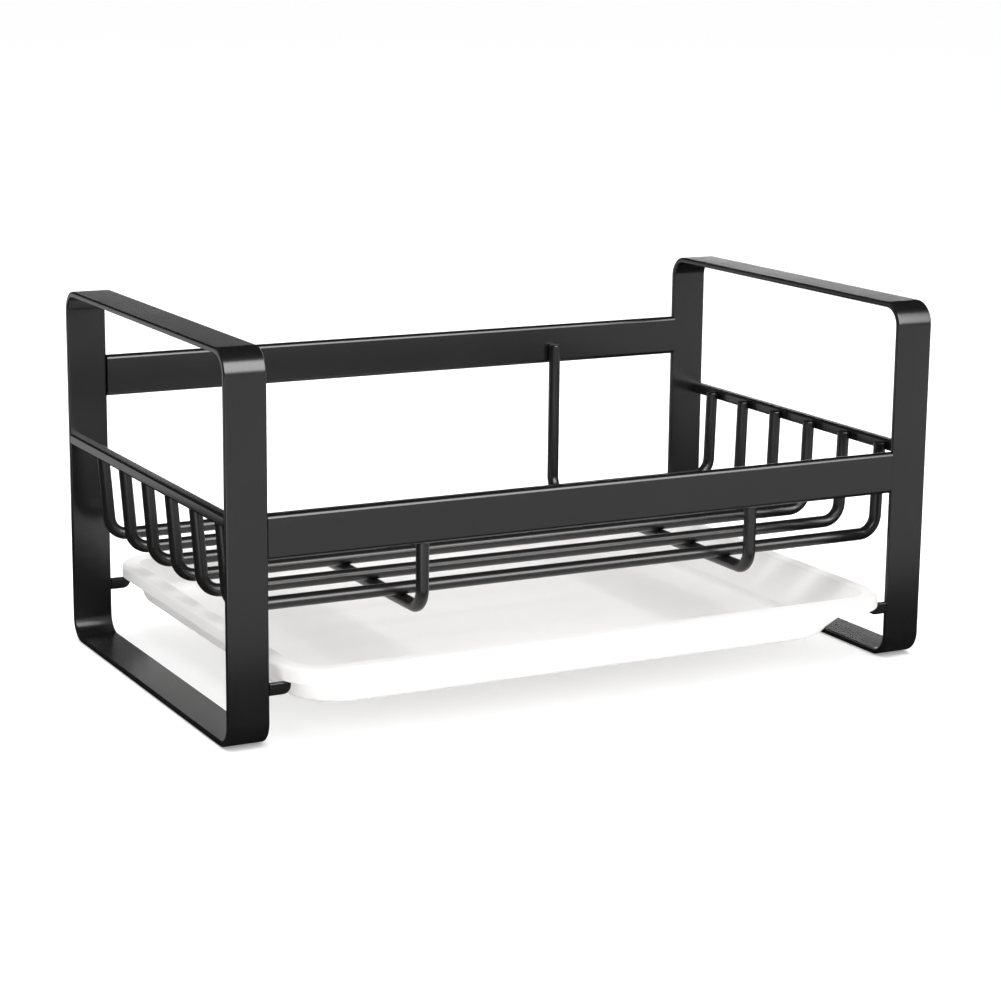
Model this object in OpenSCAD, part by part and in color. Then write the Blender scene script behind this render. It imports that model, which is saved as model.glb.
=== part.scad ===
// Dish drying rack: two flat-bar end hoops, a welded wire basket between them
// and a plastic drip tray that slides out forward below the basket.
// Origin on the ground, midway between the hoops. +X to the right, -Y to the front.

/* [Frame] */
// Height of the end hoops
frame_h = 190; // [150:1:240]
// Length across both hoops
frame_l = 395; // [300:1:560]
// Depth of the hoops, front to back
frame_d = 226; // [170:1:320]
// Width of the flat bar of the hoops
strip_w = 21; // [14:1:30]
// Thickness of the flat bar of the hoops
strip_t = 3; // [2:0.5:5]
// Outer radius of the bends in the hoops
hoop_r = 12; // [8:1:30]

/* [Rails] */
// Height of the lower edge of the front rail
front_rail_z = 90; // [75:1:110]
// Height of the lower edge of the back rail
back_rail_z = 132; // [100:1:150]
// Height of the bar of the rails
rail_h = 22; // [14:1:30]
// Thickness of the bar of the rails
rail_t = 5; // [3:0.5:8]
// Height of the upper face of the side bars
side_bar_top = 113; // [90:1:130]
// Side of the square side bars
side_bar_s = 6; // [4:0.5:10]

/* [Basket] */
// Diameter of the wire
wire_d = 6.5; // [3:0.1:8]
// Height of the centre of the long wires
floor_z = 62; // [58:1:75]
// Distance from the legs to the centre of the outermost long wires
wire_margin = 26; // [10:1:40]
// Radius of the wire bends, on the centre line
bend_r = 10; // [7:0.5:20]
// Outward lean of the wire ends at the left
left_lean = 4.5; // [0:0.5:8]
// Outward lean of the wire ends at the right
right_lean = 1.5; // [0:0.5:8]
// Distance between the two cross wires
cross_span = 187; // [80:1:260]
// Depth to which welded wires sink into each other
weld_sink = 0.4; // [0.1:0.1:0.8]

/* [Drip tray] */
// Gap between the tray's rim and the front and back legs
tray_side_gap = 6; // [2:0.5:15]
// Distance that the rim stands out in front of the hoops and behind them
tray_overhang = 16; // [8:1:30]
// Height of the underside of the tray's floor
tray_z = 17.5; // [6:0.5:20]
// Height of the outer lip of the rim
lip_h = 7.5; // [4:0.5:12]
// Thickness of the outer lip of the rim
lip_t = 2.5; // [1.5:0.1:4]
// Width of the rim from the lip to the mouth
rim_w = 9; // [6:0.5:14]
// Thickness of the tray's walls and floor
tray_wall = 2; // [1.2:0.1:4]
// Distance from the rim's edge to the foot of the steep wall at the left end
left_inset = 10; // [9.5:0.5:20]
// Distance from the rim's edge to the foot of the sloping wall at the right end
right_inset = 28; // [12:1:45]
// Distance from the rim's edge to the foot of the wall at front and back
front_inset = 10; // [9.5:0.5:20]
// Outer corner radius of the rim
rim_r = 24; // [14:1:40]

/* [Tray ledges] */
// Length of a ledge, from the leg inwards
ledge_l = 11; // [8:0.5:12.5]
// Height of a ledge
ledge_h = 6; // [4:0.5:9]
// Height of the upper face of the ledges
ledge_top = 31; // [28:0.5:40]
// Gap between the ledges and the rim that slides on them
slide_gap = 0.3; // [0.2:0.1:0.8]

/* [Hidden] */
$fn = 64;
wire_count = 6;

// clear length between the hoops, and the faces that pieces are welded to
inner_l = frame_l - 2 * strip_w;
leg_face_y = frame_d / 2 - strip_t;
bar_face_x = frame_l / 2 - side_bar_s;
wire_pitch = 2 * (leg_face_y - wire_margin) / (wire_count - 1);
// parts of the side bars' height at which the long wires end; the cross wires end halfway
// up the rails
left_level = 0.25;
right_level = 0.75;
function wire_top(level) = side_bar_top - (1 - level) * side_bar_s;
cross_z = floor_z - wire_d + weld_sink;
cross_y = frame_d / 2 - rail_t - wire_d / 2 + weld_sink;
// tray outlines
rim_l = inner_l - 2 * tray_side_gap;
rim_d = frame_d + 2 * tray_overhang;
rim_z = ledge_top + slide_gap;
rim_top = rim_z + lip_h;
mouth_l = rim_l - 2 * rim_w;
mouth_d = rim_d - 2 * rim_w;
mouth_r = rim_r - rim_w;
floor_l = rim_l - left_inset - right_inset;
floor_x = (left_inset - right_inset) / 2;
floor_d = rim_d - 2 * front_inset;
ledge_r = 0.7 * ledge_h;
// a wire swells by this much where a bend starts or ends, so its stretches share volume
swell = 0.06;
cut = 1;
skin = 0.01;

steel = "#383436";
wire_steel = "#3c3a3a";
tray_white = "#f4f3f0";

module rounded_rect(x, y, r) {
    square([x - 2 * r, y], center = true);
    square([x, y - 2 * r], center = true);
    for (sx = [-1, 1], sy = [-1, 1])
        translate([sx * (x / 2 - r), sy * (y / 2 - r)]) circle(r);
}

// closed hoop of flat bar, standing across the length of the rack
module hoop(x) {
    color(steel)
        translate([x, 0, frame_h / 2]) rotate([90, 0, 90]) linear_extrude(strip_w)
            difference() {
                rounded_rect(frame_d, frame_h, hoop_r);
                rounded_rect(frame_d - 2 * strip_t, frame_h - 2 * strip_t, hoop_r - strip_t);
            }
}
module left_hoop() hoop(-frame_l / 2);
module right_hoop() hoop(frame_l / 2 - strip_w);

// bar on edge, flush with the outside of the legs and butted between the legs of the two hoops
module rail(y, z) {
    color(steel) translate([-inner_l / 2, y, z]) cube([inner_l, rail_t, rail_h]);
}
module front_rail() rail(-frame_d / 2, front_rail_z);
module back_rail() rail(frame_d / 2 - rail_t, back_rail_z);

// square bar between the front and the back leg of one hoop, flush with its outer edge
module side_bar(x) {
    color(steel)
        translate([x, -leg_face_y, side_bar_top - side_bar_s])
            cube([side_bar_s, 2 * leg_face_y, side_bar_s]);
}
module left_side_bar() side_bar(-frame_l / 2);
module right_side_bar() side_bar(bar_face_x);

// bend and upright at the +X end of a wire whose run lies at height z;
// the upright leans outward and its top centre is at [x_top, z_top]
function upright_len(z, z_top, lean) = (z_top - z - bend_r * (1 - sin(lean))) / cos(lean);
function run_end(x_top, z, z_top, lean) =
    x_top - upright_len(z, z_top, lean) * sin(lean) - bend_r * cos(lean);

module wire_end(x_top, z, z_top, lean) {
    translate([run_end(x_top, z, z_top, lean), 0, z + bend_r]) rotate([90, 0, 0]) {
        rotate([0, 0, -90]) {
            rotate_extrude(angle = 90 - lean) translate([bend_r, 0]) circle(d = wire_d);
            translate([bend_r, 0, 0]) sphere(d = wire_d + swell);
        }
        rotate([0, 0, -lean]) translate([bend_r, 0, 0]) {
            sphere(d = wire_d + swell);
            rotate([-90, 0, 0]) cylinder(h = upright_len(z, z_top, lean), d = wire_d);
        }
    }
}

// U-shaped wire along X: one run and an upright at each end
module bent_wire(z, left_x, left_top, left_a, right_x, right_top, right_a) {
    left_end = run_end(left_x, z, left_top, left_a);
    right_end = run_end(right_x, z, right_top, right_a);
    color(wire_steel) {
        translate([-left_end, 0, z]) rotate([0, 90, 0])
            cylinder(h = left_end + right_end, d = wire_d);
        wire_end(right_x, z, right_top, right_a);
        mirror([1, 0, 0]) wire_end(left_x, z, left_top, left_a);
    }
}

// top centre of a leaning upright that is sunk into the side bar by the weld
function top_x(lean) = bar_face_x + weld_sink - wire_d / 2 / cos(lean);

module basket_wire(i) {
    translate([0, (i - (wire_count + 1) / 2) * wire_pitch, 0])
        bent_wire(floor_z, top_x(left_lean), wire_top(left_level), left_lean,
                  top_x(right_lean), wire_top(right_level), right_lean);
}

// wire under the long ones, hung between the front and the back rail
module cross_wire(x) {
    translate([x, 0, 0]) rotate([0, 0, -90])
        bent_wire(cross_z, cross_y, back_rail_z + rail_h / 2, 0,
                  cross_y, front_rail_z + rail_h / 2, 0);
}
module left_cross_wire() cross_wire(-cross_span / 2);
module right_cross_wire() cross_wire(cross_span / 2);

// short flat tab on a leg's inner edge, with its lower inner corner rounded off
module ledge(sx, sy) {
    color(steel)
        translate([sx * inner_l / 2, sy * (leg_face_y + strip_t / 2), ledge_top - ledge_h])
            mirror([sx > 0 ? 1 : 0, 0, 0]) rotate([90, 0, 0]) translate([0, 0, -strip_t / 2])
                linear_extrude(strip_t) {
                    square([ledge_l - ledge_r, ledge_h]);
                    translate([0, ledge_r]) square([ledge_l, ledge_h - ledge_r]);
                    intersection() {
                        translate([ledge_l - ledge_r, ledge_r]) circle(ledge_r);
                        square([ledge_l, ledge_r]);
                    }
                }
}
module front_left_ledge() ledge(-1, -1);
module front_right_ledge() ledge(1, -1);
module back_left_ledge() ledge(-1, 1);
module back_right_ledge() ledge(1, 1);

// solid that widens upward from one rounded outline to another, more at its right end
module pan(low, low_r, z_low, high, high_r, z_high) {
    hull() {
        translate([floor_x, 0, z_low]) linear_extrude(skin) rounded_rect(low.x, low.y, low_r);
        translate([0, 0, z_high - skin]) linear_extrude(skin)
            rounded_rect(high.x, high.y, high_r);
    }
}
module tray_outside() {
    pan([floor_l, floor_d], rim_r, tray_z,
        [mouth_l + 2 * tray_wall, mouth_d + 2 * tray_wall], mouth_r + tray_wall, rim_top);
}
module tray_inside() {
    pan([floor_l - 2 * tray_wall, floor_d - 2 * tray_wall], rim_r - tray_wall,
        tray_z + tray_wall, [mouth_l, mouth_d], mouth_r, rim_top + cut);
}
// shallow pan with a rim that is rolled over and hollow below
module drip_tray() {
    color(tray_white) difference() {
        union() {
            tray_outside();
            difference() {
                translate([0, 0, rim_z]) linear_extrude(lip_h) rounded_rect(rim_l, rim_d, rim_r);
                translate([0, 0, rim_z - cut]) linear_extrude(lip_h - lip_t + cut)
                    rounded_rect(rim_l - 2 * lip_t, rim_d - 2 * lip_t, rim_r - lip_t);
            }
        }
        tray_inside();
    }
}

left_hoop();
right_hoop();
front_rail();
back_rail();
left_side_bar();
right_side_bar();
for (i = [1 : wire_count])
    basket_wire(i);
left_cross_wire();
right_cross_wire();
front_left_ledge();
front_right_ledge();
back_left_ledge();
back_right_ledge();
drip_tray();
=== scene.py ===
import math

import bmesh
import bpy
from mathutils import Euler, Matrix, Vector


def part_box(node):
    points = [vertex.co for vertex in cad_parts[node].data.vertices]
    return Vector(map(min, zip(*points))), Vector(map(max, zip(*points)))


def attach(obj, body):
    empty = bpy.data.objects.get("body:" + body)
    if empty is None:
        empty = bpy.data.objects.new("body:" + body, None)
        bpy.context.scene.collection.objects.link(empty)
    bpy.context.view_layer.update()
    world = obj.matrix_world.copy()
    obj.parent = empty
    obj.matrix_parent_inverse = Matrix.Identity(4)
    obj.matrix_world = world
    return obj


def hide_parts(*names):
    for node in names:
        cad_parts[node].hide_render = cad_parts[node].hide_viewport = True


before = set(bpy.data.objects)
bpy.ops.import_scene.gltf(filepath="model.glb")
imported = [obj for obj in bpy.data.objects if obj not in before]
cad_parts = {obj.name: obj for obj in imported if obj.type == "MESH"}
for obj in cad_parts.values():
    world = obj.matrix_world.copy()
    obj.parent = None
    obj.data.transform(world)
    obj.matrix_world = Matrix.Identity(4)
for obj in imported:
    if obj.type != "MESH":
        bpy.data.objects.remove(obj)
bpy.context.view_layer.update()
mm = 0.001


def say(stage):
    print("dish rack:", stage)


def hexToLinear(text):
    # sRGB hex to the linear colour that the shader sockets want
    parts = [int(text[i:i + 2], 16) / 255 for i in (1, 3, 5)]
    return [p / 12.92 if p <= 0.04045 else ((p + 0.055) / 1.055) ** 2.4 for p in parts] + [1.0]


def addNode(tree, kind, settings=None, links=None):
    # settings go to the node's own properties or to its sockets, links join sockets to sources
    node = tree.nodes.new(kind)
    settings = settings or {}
    for name, value in settings.items():
        if isinstance(name, str) and name in node.bl_rna.properties:
            setattr(node, name, value)
    for name, value in settings.items():
        if not (isinstance(name, str) and name in node.bl_rna.properties):
            node.inputs[name].default_value = value
    for name, source in (links or {}).items():
        tree.links.new(source, node.inputs[name])
    return node


def linkObject(name, data):
    obj = bpy.data.objects.new(name, data)
    bpy.context.scene.collection.objects.link(obj)
    return obj


def pathCurve(name, points, closed=False, radii=None):
    # a plain polyline for a geometry tree to round and to give a section
    data = bpy.data.curves.new(name, "CURVE")
    data.dimensions = "3D"
    spline = data.splines.new("POLY")
    spline.points.add(len(points) - 1)
    for i, point in enumerate(points):
        spline.points[i].co = (*point, 1)
        spline.points[i].radius = radii[i] if radii else 1
    spline.use_cyclic_u = closed
    return linkObject(name, data)


def newTree(name, sizes):
    # a geometry tree with named inputs for its sizes and for its coat
    tree = bpy.data.node_groups.new(name, "GeometryNodeTree")
    tree.interface.new_socket("Geometry", in_out="INPUT", socket_type="NodeSocketGeometry")
    for size, value in sizes.items():
        kind = "NodeSocketInt" if isinstance(value, int) else "NodeSocketFloat"
        if isinstance(value, (tuple, Vector)):
            kind = "NodeSocketVector"
        tree.interface.new_socket(size, in_out="INPUT", socket_type=kind)
    tree.interface.new_socket("Coat", in_out="INPUT", socket_type="NodeSocketMaterial")
    tree.interface.new_socket("Geometry", in_out="OUTPUT", socket_type="NodeSocketGeometry")
    return tree


def bakeTree(obj, tree, sizes, coat, name, place=None):
    # runs the tree on obj and keeps the result as a plain mesh object
    modifier = obj.modifiers.new("build", "NODES")
    modifier.node_group = tree
    wanted = dict(sizes, Coat=coat)
    for item in tree.interface.items_tree:
        if item.item_type == "SOCKET" and item.in_out == "INPUT" and item.name in wanted:
            modifier[item.identifier] = wanted[item.name]
    depsgraph = bpy.context.evaluated_depsgraph_get()
    mesh = bpy.data.meshes.new_from_object(obj.evaluated_get(depsgraph))
    obj.modifiers.remove(modifier)
    bpy.data.objects.remove(obj)
    mesh.name = name
    if place:
        mesh.transform(place)
    piece = linkObject(name, mesh)
    if not mesh.materials:
        mesh.materials.append(coat)
    return piece


def settle(piece, mergeAt=0.00001):
    # closes seams, turns faces outward and lets the broad faces lead the shading
    bm = bmesh.new()
    bm.from_mesh(piece.data)
    bmesh.ops.remove_doubles(bm, verts=bm.verts, dist=mergeAt)
    bmesh.ops.recalc_face_normals(bm, faces=bm.faces)
    for face in bm.faces:
        face.smooth = True
    bm.to_mesh(piece.data)
    bm.free()
    modifier = piece.modifiers.new("shading", "WEIGHTED_NORMAL")
    modifier.weight = 90
    modifier.keep_sharp = True
    depsgraph = bpy.context.evaluated_depsgraph_get()
    mesh = bpy.data.meshes.new_from_object(piece.evaluated_get(depsgraph))
    piece.modifiers.remove(modifier)
    mesh.name = piece.name
    piece.data = mesh
    return piece


camera = {
    "azimuth": -27.713,
    "elevation": 12.387,
    "roll": 0.599,
    "distance": 1.3702,
    "aimHeight": 0.095,
    "slideRight": 0.00325,
    "slideUp": -0.01451,
    "lens": 92.68,
}


def makeCamera(c):
    a, e, r = (math.radians(c[k]) for k in ("azimuth", "elevation", "roll"))
    back = Vector((math.sin(a) * math.cos(e), -math.cos(a) * math.cos(e), math.sin(e)))
    right = Vector((0, 0, 1)).cross(back).normalized()
    up = back.cross(right)
    right, up = (right * math.cos(r) + up * math.sin(r), up * math.cos(r) - right * math.sin(r))
    data = bpy.data.cameras.new("studio camera")
    data.lens = c["lens"]
    data.sensor_width = 36
    data.clip_start = 0.05
    data.clip_end = 60
    obj = linkObject("studio camera", data)
    place = Vector((0, 0, c["aimHeight"])) + back * c["distance"]
    place += right * c["slideRight"] + up * c["slideUp"]
    turn = Matrix((right, up, back)).transposed().to_4x4()
    obj.matrix_world = Matrix.Translation(place) @ turn
    bpy.context.scene.camera = obj


makeCamera(camera)
say("camera is up")


coatLook = {
    "colour": "#151415",
    "roughness": 0.24,
    "orangePeel": 1.6,     # mm from one ripple of the cured powder to the next
    "peelHeight": 0.007,   # mm
    "grain": 0.35,         # mm, the fine sparkle between ripples
}


def powderCoat(name, look):
    # Satin black polyester powder coat, baked on steel: a deep neutral black whose
    # skin is slightly rippled, so highlights break softly at their edges.
    material = bpy.data.materials.new(name)
    material.use_nodes = True
    tree = material.node_tree
    tree.nodes.clear()
    where = addNode(tree, "ShaderNodeTexCoord")
    peel = addNode(tree, "ShaderNodeTexNoise", {"Scale": 1 / (look["orangePeel"] * mm), "Detail": 2.0,
                                                "Roughness": 0.45}, {"Vector": where.outputs["Object"]})
    grain = addNode(tree, "ShaderNodeTexNoise", {"Scale": 1 / (look["grain"] * mm), "Detail": 1.0},
                    {"Vector": where.outputs["Object"]})
    # cured film varies a little in sheen over some centimetres
    cloud = addNode(tree, "ShaderNodeTexNoise", {"Scale": 1 / (45 * mm), "Detail": 3.0},
                    {"Vector": where.outputs["Object"]})
    rough = addNode(tree, "ShaderNodeMapRange", {"To Min": look["roughness"] - 0.04,
                                                 "To Max": look["roughness"] + 0.05},
                    {"Value": cloud.outputs["Fac"]})
    tint = addNode(tree, "ShaderNodeMix", {"data_type": "RGBA", 6: hexToLinear(look["colour"]),
                                           7: hexToLinear(look["shade"])},
                   {0: grain.outputs["Fac"]})
    ripples = addNode(tree, "ShaderNodeBump", {"Strength": 1.0, "Distance": look["peelHeight"] * mm},
                      {"Height": peel.outputs["Fac"]})
    sparkle = addNode(tree, "ShaderNodeBump", {"Strength": 0.2, "Distance": look["peelHeight"] * 0.3 * mm},
                      {"Height": grain.outputs["Fac"], "Normal": ripples.outputs["Normal"]})
    skin = addNode(tree, "ShaderNodeBsdfPrincipled", {"IOR": 1.5, "Metallic": 0.0},
                   {"Base Color": tint.outputs[2], "Roughness": rough.outputs["Result"],
                    "Normal": sparkle.outputs["Normal"]})
    addNode(tree, "ShaderNodeOutputMaterial", {}, {"Surface": skin.outputs["BSDF"]})
    return material


barCoat = powderCoat("satin black powder coat on flat bar", dict(coatLook, shade="#111011"))
wireCoat = powderCoat("satin black powder coat on wire",
                      dict(coatLook, colour="#191818", shade="#151414", roughness=0.28, orangePeel=1.1))

trayLook = {
    "colour": "#eeedec",
    "shade": "#e9e8e7",
    "roughness": 0.38,
    "grain": 0.5,         # mm, the eroded texture of the mould
    "grainHeight": 0.006,  # mm
    "flow": 60,           # mm, broad shrink waves of a thin moulding
}


def polypropylene(name, look):
    # Injection moulded white polypropylene: slightly waxy, light goes a little way in,
    # the mould's fine texture breaks the sheen and thin walls have broad shrink waves.
    material = bpy.data.materials.new(name)
    material.use_nodes = True
    tree = material.node_tree
    tree.nodes.clear()
    where = addNode(tree, "ShaderNodeTexCoord")
    grain = addNode(tree, "ShaderNodeTexNoise", {"Scale": 1 / (look["grain"] * mm), "Detail": 2.0},
                    {"Vector": where.outputs["Object"]})
    waves = addNode(tree, "ShaderNodeTexNoise", {"Scale": 1 / (look["flow"] * mm), "Detail": 1.0},
                    {"Vector": where.outputs["Object"]})
    tint = addNode(tree, "ShaderNodeMix", {"data_type": "RGBA", 6: hexToLinear(look["colour"]),
                                           7: hexToLinear(look["shade"])},
                   {0: waves.outputs["Fac"]})
    rough = addNode(tree, "ShaderNodeMapRange", {"To Min": look["roughness"] - 0.05,
                                                 "To Max": look["roughness"] + 0.06},
                    {"Value": waves.outputs["Fac"]})
    broad = addNode(tree, "ShaderNodeBump", {"Strength": 0.6, "Distance": 0.15 * mm},
                    {"Height": waves.outputs["Fac"]})
    fine = addNode(tree, "ShaderNodeBump", {"Strength": 1.0, "Distance": look["grainHeight"] * mm},
                   {"Height": grain.outputs["Fac"], "Normal": broad.outputs["Normal"]})
    skin = addNode(tree, "ShaderNodeBsdfPrincipled",
                   {"IOR": 1.49, "Subsurface Weight": 0.25, "Subsurface Scale": 0.002,
                    "Subsurface Radius": (1.0, 0.95, 0.9)},
                   {"Base Color": tint.outputs[2], "Roughness": rough.outputs["Result"],
                    "Normal": fine.outputs["Normal"]})
    addNode(tree, "ShaderNodeOutputMaterial", {}, {"Surface": skin.outputs["BSDF"]})
    return material


trayPlastic = polypropylene("moulded white polypropylene", trayLook)
say("finishes are mixed")


def flatBarTree():
    # rounds the corners of a path and sweeps a bar with eased edges along it
    tree = newTree("flat bar along a path", {"Bar Width": 0.02, "Bar Thickness": 0.003,
                                             "Edge Radius": 0.0006, "Bend Radius": 0.01, "Bend Steps": 12})
    source = addNode(tree, "NodeGroupInput")
    bends = addNode(tree, "GeometryNodeFilletCurve", {"mode": "POLY", "Limit Radius": True},
                    {"Curve": source.outputs["Geometry"], "Count": source.outputs["Bend Steps"],
                     "Radius": source.outputs["Bend Radius"]})
    upright = addNode(tree, "GeometryNodeSetCurveNormal", {"mode": "Z_UP"},
                      {"Curve": bends.outputs["Curve"]})
    section = addNode(tree, "GeometryNodeCurvePrimitiveQuadrilateral", {},
                      {"Width": source.outputs["Bar Thickness"], "Height": source.outputs["Bar Width"]})
    eased = addNode(tree, "GeometryNodeFilletCurve", {"mode": "POLY", "Count": 3},
                    {"Curve": section.outputs["Curve"], "Radius": source.outputs["Edge Radius"]})
    sweep = addNode(tree, "GeometryNodeCurveToMesh", {"Fill Caps": True},
                    {"Curve": upright.outputs["Curve"], "Profile Curve": eased.outputs["Curve"]})
    real = addNode(tree, "GeometryNodeRealizeInstances", {}, {"Geometry": sweep.outputs["Mesh"]})
    coat = addNode(tree, "GeometryNodeSetMaterial", {},
                   {"Geometry": real.outputs["Geometry"], "Material": source.outputs["Coat"]})
    addNode(tree, "NodeGroupOutput", {}, {"Geometry": coat.outputs["Geometry"]})
    return tree


barSweep = flatBarTree()
barSizes = {"Bar Width": 0.021, "Bar Thickness": 0.003, "Edge Radius": 0.0008, "Bend Radius": 0.0105,
            "Bend Steps": 14}
# stands a drawing in XY up in YZ
acrossRack = Euler((math.pi / 2, 0, math.pi / 2)).to_matrix().to_4x4()


def makeHoop(node):
    low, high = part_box(node)
    half = barSizes["Bar Thickness"] / 2
    y, z0, z1 = high.y - half, low.z + half, high.z - half
    path = pathCurve("hoop path", [(-y, z0, 0), (y, z0, 0), (y, z1, 0), (-y, z1, 0)], closed=True)
    place = Matrix.Translation(((low.x + high.x) / 2, 0, 0)) @ acrossRack
    piece = settle(bakeTree(path, barSweep, barSizes, barCoat, node + "Bar", place))
    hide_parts(node)
    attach(piece, "frame")


def makeStraightBar(node, along, sizes):
    # along is 0 for a bar that runs along X, 1 for one along Y
    low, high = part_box(node)
    middle = (low + high) / 2
    ends = [middle.copy(), middle.copy()]
    ends[0][along], ends[1][along] = low[along], high[along]
    path = pathCurve(node + " path", [tuple(p) for p in ends])
    piece = settle(bakeTree(path, barSweep, sizes, barCoat, node + "Bar"))
    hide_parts(node)
    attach(piece, "frame")


for node in ("left_hoop", "right_hoop"):
    makeHoop(node)
# the rails are heavier bar with well rounded edges
railSizes = dict(barSizes, **{"Bar Width": 0.022, "Bar Thickness": 0.005, "Edge Radius": 0.0022})
for node in ("front_rail", "back_rail"):
    makeStraightBar(node, 0, railSizes)
sideBarSizes = dict(barSizes, **{"Bar Width": 0.006, "Bar Thickness": 0.006, "Edge Radius": 0.0013})
for node in ("left_side_bar", "right_side_bar"):
    makeStraightBar(node, 1, sideBarSizes)
say("hoops, rails and side bars are bent")


def wireTree():
    # rounds a wire's bends, gives it its thickness and lays a number of them side by side
    tree = newTree("bent wires side by side",
                   {"Wire Diameter": 0.0065, "Bend Radius": 0.01, "Bend Steps": 12, "Wire Sides": 20,
                    "Wire Count": 6, "First Wire": Vector((0, 0, 0)), "Wire Step": Vector((0, 0, 0))})
    source = addNode(tree, "NodeGroupInput")
    bends = addNode(tree, "GeometryNodeFilletCurve", {"mode": "POLY", "Limit Radius": True},
                    {"Curve": source.outputs["Geometry"], "Count": source.outputs["Bend Steps"],
                     "Radius": source.outputs["Bend Radius"]})
    half = addNode(tree, "ShaderNodeMath", {"operation": "DIVIDE", 1: 2.0},
                   {0: source.outputs["Wire Diameter"]})
    section = addNode(tree, "GeometryNodeCurvePrimitiveCircle", {},
                      {"Resolution": source.outputs["Wire Sides"], "Radius": half.outputs[0]})
    # the path's radius rounds the wire's ends over
    taper = addNode(tree, "GeometryNodeInputRadius")
    sweep = addNode(tree, "GeometryNodeCurveToMesh", {"Fill Caps": True},
                    {"Curve": bends.outputs["Curve"], "Profile Curve": section.outputs["Curve"],
                     "Scale": taper.outputs["Radius"]})
    row = addNode(tree, "GeometryNodeMeshLine", {},
                  {"Count": source.outputs["Wire Count"], "Start Location": source.outputs["First Wire"],
                   "Offset": source.outputs["Wire Step"]})
    laid = addNode(tree, "GeometryNodeInstanceOnPoints", {},
                   {"Points": row.outputs["Mesh"], "Instance": sweep.outputs["Mesh"]})
    real = addNode(tree, "GeometryNodeRealizeInstances", {}, {"Geometry": laid.outputs["Instances"]})
    coat = addNode(tree, "GeometryNodeSetMaterial", {},
                   {"Geometry": real.outputs["Geometry"], "Material": source.outputs["Coat"]})
    addNode(tree, "NodeGroupOutput", {}, {"Geometry": coat.outputs["Geometry"]})
    return tree


wireSweep = wireTree()
wire = {
    "diameter": 0.0065,
    "bend": 0.010,
    "leftLean": 4.5,      # degrees that the basket's wire ends lean out at the left
    "rightLean": 1.5,
    "endEase": 0.0008,    # the sheared ends are rounded over by the coat
    "sink": 0.0004,
    "leftLevel": 0.25,    # how far up the side bars the ends reach
    "rightLevel": 0.75,
}
wireSizes = {"Wire Diameter": wire["diameter"], "Bend Radius": wire["bend"], "Bend Steps": 14,
             "Wire Sides": 24}


def wirePath(points):
    # adds closely spaced points at both ends, where the wire's end is rounded over
    r, ease = wire["diameter"] / 2, wire["endEase"]
    # how far in along the rounding, and the part of the full radius there
    steps = [(0.0, 1 - ease / r), (0.12, 1 - 0.53 * ease / r), (0.4, 1 - 0.2 * ease / r), (1.0, 1.0)]
    rounded = []
    for end, inner in ((points[0], points[1]), (points[-1], points[-2])):
        way = (Vector(inner) - Vector(end)).normalized()
        rounded.append([(tuple(Vector(end) + way * ease * s), k) for s, k in steps])
    start, finish = rounded
    path = start + [(p, 1.0) for p in points[1:-1]] + finish[::-1]
    return [p for p, k in path], [k for p, k in path]


def uprightFoot(topX, topZ, runZ, lean):
    # where a leaning upright's line meets the line of the run
    return topX - math.tan(math.radians(lean)) * (topZ - runZ)


def makeBasketWires():
    count = 6
    nodes = [f"basket_wire_{i}" for i in range(1, count + 1)]
    low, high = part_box(nodes[0])
    lastLow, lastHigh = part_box(nodes[-1])
    r = wire["diameter"] / 2
    runZ = low.z + r
    barLow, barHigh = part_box("left_side_bar")
    leftZ, rightZ = (barLow.z + wire[k] * (barHigh.z - barLow.z) for k in ("leftLevel", "rightLevel"))
    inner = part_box("right_side_bar")[0].x + wire["sink"]
    rightX = inner - r / math.cos(math.radians(wire["rightLean"]))
    leftX = -(inner - r / math.cos(math.radians(wire["leftLean"])))
    corners = [(leftX, leftZ, 0), (-uprightFoot(-leftX, leftZ, runZ, wire["leftLean"]), runZ, 0),
               (uprightFoot(rightX, rightZ, runZ, wire["rightLean"]), runZ, 0), (rightX, rightZ, 0)]
    points, radii = wirePath(corners)
    first, last = (low.y + high.y) / 2, (lastLow.y + lastHigh.y) / 2
    step = (last - first) / (count - 1)
    # drawn in XY and stood up, so a step back along Y is a step along -Z in the drawing
    sizes = dict(wireSizes, **{"Wire Count": count, "First Wire": (0, 0, -first),
                               "Wire Step": (0, 0, -step)})
    path = pathCurve("basket wire path", points, radii=radii)
    place = Euler((math.pi / 2, 0, 0)).to_matrix().to_4x4()
    piece = settle(bakeTree(path, wireSweep, sizes, wireCoat, "basketWires", place))
    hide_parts(*nodes)
    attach(piece, "frame")


def makeCrossWires():
    low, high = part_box("left_cross_wire")
    otherLow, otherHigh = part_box("right_cross_wire")
    r = wire["diameter"] / 2
    runZ = low.z + r
    y = high.y - r
    front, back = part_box("front_rail"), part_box("back_rail")
    frontZ, backZ = (front[0].z + front[1].z) / 2, (back[0].z + back[1].z) / 2
    points, radii = wirePath([(-y, frontZ, 0), (-y, runZ, 0), (y, runZ, 0), (y, backZ, 0)])
    first, last = (low.x + high.x) / 2, (otherLow.x + otherHigh.x) / 2
    sizes = dict(wireSizes, **{"Wire Count": 2, "First Wire": (0, 0, first),
                               "Wire Step": (0, 0, last - first)})
    path = pathCurve("cross wire path", points, radii=radii)
    piece = settle(bakeTree(path, wireSweep, sizes, wireCoat, "crossWires", acrossRack))
    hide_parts("left_cross_wire", "right_cross_wire")
    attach(piece, "frame")


makeBasketWires()
makeCrossWires()
say("wires are bent")


ledge = {
    "cornerShare": 0.7,    # radius of the lower inner corner, as a part of the ledge's height
    "cornerSteps": 10,
    "edgeEase": 0.0006,
}


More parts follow.
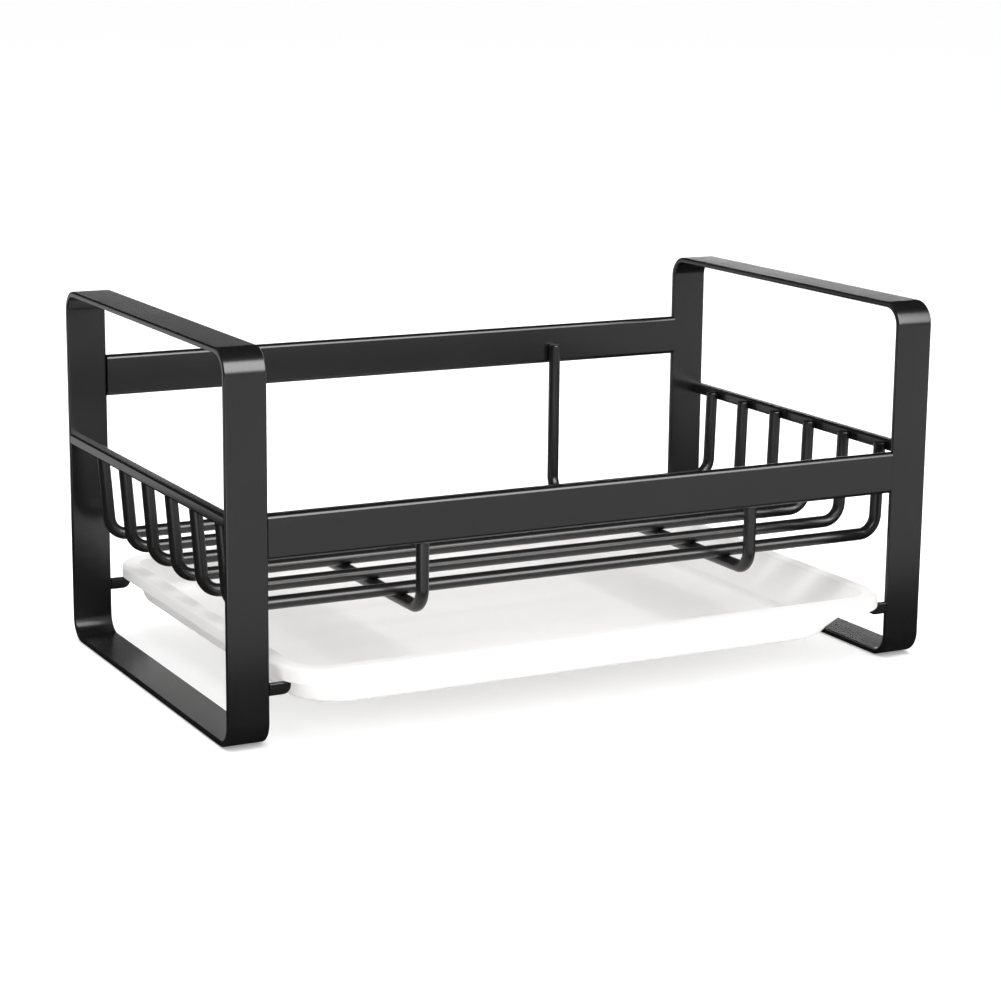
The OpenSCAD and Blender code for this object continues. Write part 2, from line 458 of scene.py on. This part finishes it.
def makeLedge(node):
    # short flat tab: the CAD shape with its edges eased as the coat leaves them
    low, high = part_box(node)
    sx = 1 if low.x > 0 else -1
    inner, outer = (low.x, high.x) if sx > 0 else (high.x, low.x)
    r = ledge["cornerShare"] * (high.z - low.z)
    outline = [(outer, low.z), (outer, high.z), (inner, high.z)]
    for i in range(ledge["cornerSteps"] + 1):
        a = math.pi / 2 * i / ledge["cornerSteps"]
        outline.append((inner + sx * r * (1 - math.cos(a)), low.z + r * (1 - math.sin(a))))
    bm = bmesh.new()
    front = [bm.verts.new((x, low.y, z)) for x, z in outline]
    back = [bm.verts.new((x, high.y, z)) for x, z in outline]
    bm.faces.new(front)
    bm.faces.new(back[::-1])
    for i in range(len(outline)):
        j = (i + 1) % len(outline)
        bm.faces.new((front[j], front[i], back[i], back[j]))
    bmesh.ops.recalc_face_normals(bm, faces=bm.faces)
    # the edges of the two broad faces and of the upper face
    rims = [e for e in bm.edges if abs(e.verts[0].co.y - e.verts[1].co.y) < 1e-6
            or min(abs(v.co.z - high.z) for v in e.verts) < 1e-6]
    bmesh.ops.bevel(bm, geom=rims, offset=ledge["edgeEase"], segments=3, affect="EDGES", profile=0.5,
                    clamp_overlap=True)
    mesh = bpy.data.meshes.new(node + "Tab")
    bm.to_mesh(mesh)
    bm.free()
    mesh.materials.append(barCoat)
    piece = settle(linkObject(node + "Tab", mesh))
    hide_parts(node)
    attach(piece, "frame")


for node in ("front_left_ledge", "front_right_ledge", "back_left_ledge", "back_right_ledge"):
    makeLedge(node)
say("ledges are cut")


tray = {
    "wall": 0.002,
    "lipThickness": 0.0025,
    "rimCorner": 0.024,
    "rimWidth": 0.009,
    "leftInset": 0.010,    # from the rim's edge to the foot of the steep end wall
    "rightInset": 0.028,   # the same at the sloping end wall
    "frontInset": 0.010,
    "slideGap": 0.0003,    # between the ledges and the rim
    "edgeEase": 0.0022,    # radius of the rim's outer top edge
    "mouthEase": 0.0018,   # radius where the rim turns down into the pan
    "footEase": 0.006,     # radius between wall and floor
    "thinEase": 0.0008,    # radius on the lip's lower edge and in its hollow
    "flatInset": 0.08,     # where the flat middle of the floor starts
    "easeSteps": 6,
    "cornerSteps": 16,
    "sideSteps": 10,
}


def ringPoints(left, right, halfY, r, z):
    # a rounded rectangle with the same number of points at every size
    points = []
    corners = ((right - r, halfY - r), (left + r, halfY - r),
               (left + r, r - halfY), (right - r, r - halfY))
    for corner, (cx, cy) in enumerate(corners):
        for i in range(tray["cornerSteps"] + 1):
            a = math.pi / 2 * (corner + i / tray["cornerSteps"])
            points.append(Vector((cx + r * math.cos(a), cy + r * math.sin(a), z)))
        start = points[-1].copy()
        bx, by = corners[(corner + 1) % 4]
        a = math.pi / 2 * (corner + 1)
        end = Vector((bx + r * math.cos(a), by + r * math.sin(a), z))
        points += [start.lerp(end, i / tray["sideSteps"]) for i in range(1, tray["sideSteps"])]
    return points


def roundCorner(a, b, c, r):
    # replaces corner b of a section a-b-c by an arc
    va, vc = (a - b).normalized(), (c - b).normalized()
    half = math.acos(max(-1, min(1, va.dot(vc)))) / 2
    reach = r / math.tan(half)
    centre = b + (va + vc).normalized() * (r / math.sin(half))
    start, end = b + va * reach - centre, b + vc * reach - centre
    steps = tray["easeSteps"]
    return [centre + start.lerp(end, i / steps).normalized() * r for i in range(steps + 1)]


def roundedSection(corners):
    # a corner is (inset left, inset right, inset front and back, height, radius, plan radius);
    # each plane's section is rounded by itself and the results run in step
    rings = []
    for a, b, c in zip(corners, corners[1:], corners[2:]):
        planes = [roundCorner(Vector((a[k], a[3])), Vector((b[k], b[3])), Vector((c[k], c[3])), b[4])
                  for k in range(3)]
        for left, right, side in zip(*planes):
            rings.append((left.x, right.x, side.x, (left.y + right.y + side.y) / 3, b[5]))
    return rings


def makeTray():
    low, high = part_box("drip_tray")
    w, lip, mouth = tray["wall"], tray["lipThickness"], tray["rimWidth"]
    left, right, front = tray["leftInset"], tray["rightInset"], tray["frontInset"]
    rim = tray["rimCorner"]
    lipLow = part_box("front_left_ledge")[1].z + tray["slideGap"]
    top, bottom = high.z, low.z
    ease, foot, flat = tray["thinEase"], tray["footEase"], tray["flatInset"]
    lipInner = (lip, lip, lip, top - lip, ease, rim - lip)
    lipFoot = (lip, lip, lip, lipLow, ease, rim - lip)
    upper = [lipInner, lipFoot, (0, 0, 0, lipLow, ease, rim), (0, 0, 0, top, tray["edgeEase"], rim),
             (mouth, mouth, mouth, top, tray["mouthEase"], rim - mouth),
             (left + w, right + w, front + w, bottom + w, foot, rim - w),
             (flat, flat, flat, bottom + w, 0, rim)]
    outside = mouth - w
    under = [(flat, flat, flat, bottom, 0, rim), (left, right, front, bottom, foot + w, rim),
             (outside, outside, outside, top - lip, ease, rim - outside), lipInner, lipFoot]
    bm = bmesh.new()
    shells = []
    for chain in (roundedSection(upper), roundedSection(under)):
        shells.append([[bm.verts.new(p) for p in ringPoints(low.x + a, high.x - b, high.y - c, r, z)]
                       for a, b, c, z, r in chain])

    def bridge(a, b):
        for i in range(len(a)):
            j = (i + 1) % len(a)
            bm.faces.new((a[i], a[j], b[j], b[i]))

    for shell in shells:
        for a, b in zip(shell, shell[1:]):
            bridge(a, b)
    bridge(shells[1][-1], shells[0][0])
    bm.faces.new(shells[0][-1])
    bm.faces.new(shells[1][0][::-1])
    mesh = bpy.data.meshes.new("dripTray")
    bm.to_mesh(mesh)
    bm.free()
    mesh.materials.append(trayPlastic)
    piece = settle(linkObject("dripTray", mesh))
    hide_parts("drip_tray")
    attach(piece, "tray")


makeTray()
say("drip tray is moulded")


def plainMaterial(name, colour, roughness):
    material = bpy.data.materials.new(name)
    material.use_nodes = True
    skin = material.node_tree.nodes["Principled BSDF"]
    skin.inputs["Base Color"].default_value = hexToLinear(colour)
    skin.inputs["Roughness"].default_value = roughness
    return material


def makeFloor():
    bpy.ops.mesh.primitive_plane_add(size=30, location=(0, 0, -0.0003))
    floor = bpy.context.object
    floor.name = "floor"
    # White translucent acrylic lit from below: it stays white and keeps only faint shadows
    panel = plainMaterial("lit white acrylic floor", "#ffffff", 0.9)
    skin = panel.node_tree.nodes["Principled BSDF"]
    skin.inputs["Emission Color"].default_value = hexToLinear("#ffffff")
    skin.inputs["Emission Strength"].default_value = 0.26
    floor.data.materials.append(panel)
    # black flags round the set keep the floor out of the coat's reflections
    floor.visible_glossy = False


def softbox(name, place, aim, width, height, radiance, diffuse, glossy):
    data = bpy.data.lights.new(name, "AREA")
    data.shape = "RECTANGLE"
    data.size, data.size_y = width, height
    data.energy = radiance * width * height * math.pi
    obj = linkObject(name, data)
    way = Vector(aim) - Vector(place)
    obj.matrix_world = Matrix.Translation(place) @ way.to_track_quat("-Z", "Y").to_matrix().to_4x4()
    obj.visible_camera = False
    obj.visible_diffuse = diffuse
    obj.visible_glossy = glossy


makeFloor()
# place, aim, width, height, radiance, lights the matt surfaces, shows in reflections
lamps = {
    "overhead softbox": ((0.0, -0.1, 1.6), (0, 0, 0.1), 1.8, 1.4, 3.2, True, False),
    "key softbox": ((0.35, -1.88, 1.2), (0, 0, 0.1), 2.6, 1.7, 10, False, True),
    "front board": ((0.55, -1.1, 0.0), (0.55, -1.1, 1), 2.4, 1.7, 0.86, False, True),
    "front left board": ((-0.5, -0.75, 0.001), (-0.5, -0.75, 1), 0.5, 0.8, 2.6, False, True),
    "rear board": ((-0.3, 1.25, 0.0), (-0.3, 1.25, 1), 2.6, 1.7, 0.8, False, True),
    "right board": ((1.5, 0.0, 0.0), (1.5, 0.0, 1), 1.6, 1.6, 0.8, False, True),
    "rear card left": ((0.75, 2.2, 0.27), (0, 0, 0.19), 0.9, 0.30, 1.5, False, True),
    "rear card right": ((1.75, 2.0, 0.27), (0, 0, 0.19), 1.2, 0.30, 4.2, False, True),
    "rear left softbox": ((-1.6, 1.5, 1.2), (0, 0, 0.1), 0.9, 0.9, 1.2, False, True),
}
for name, lamp in lamps.items():
    softbox(name, *lamp)


def makeWorld():
    # white to the camera, an even fill for matt surfaces, and dark in reflections as between black flags
    world = bpy.data.worlds.new("studio")
    bpy.context.scene.world = world
    world.use_nodes = True
    tree = world.node_tree
    tree.nodes.clear()
    ray = addNode(tree, "ShaderNodeLightPath")
    fill = addNode(tree, "ShaderNodeMapRange", {"To Min": 0.02, "To Max": 0.8},
                   {"Value": ray.outputs["Is Diffuse Ray"]})
    level = addNode(tree, "ShaderNodeMix", {"data_type": "FLOAT", 3: 1.0},
                    {0: ray.outputs["Is Camera Ray"], 2: fill.outputs["Result"]})
    sky = addNode(tree, "ShaderNodeBackground", {"Color": (1, 1, 1, 1)}, {"Strength": level.outputs[0]})
    addNode(tree, "ShaderNodeOutputWorld", {}, {"Surface": sky.outputs["Background"]})


makeWorld()
bpy.context.scene.view_settings.view_transform = "Standard"
say("studio is lit")
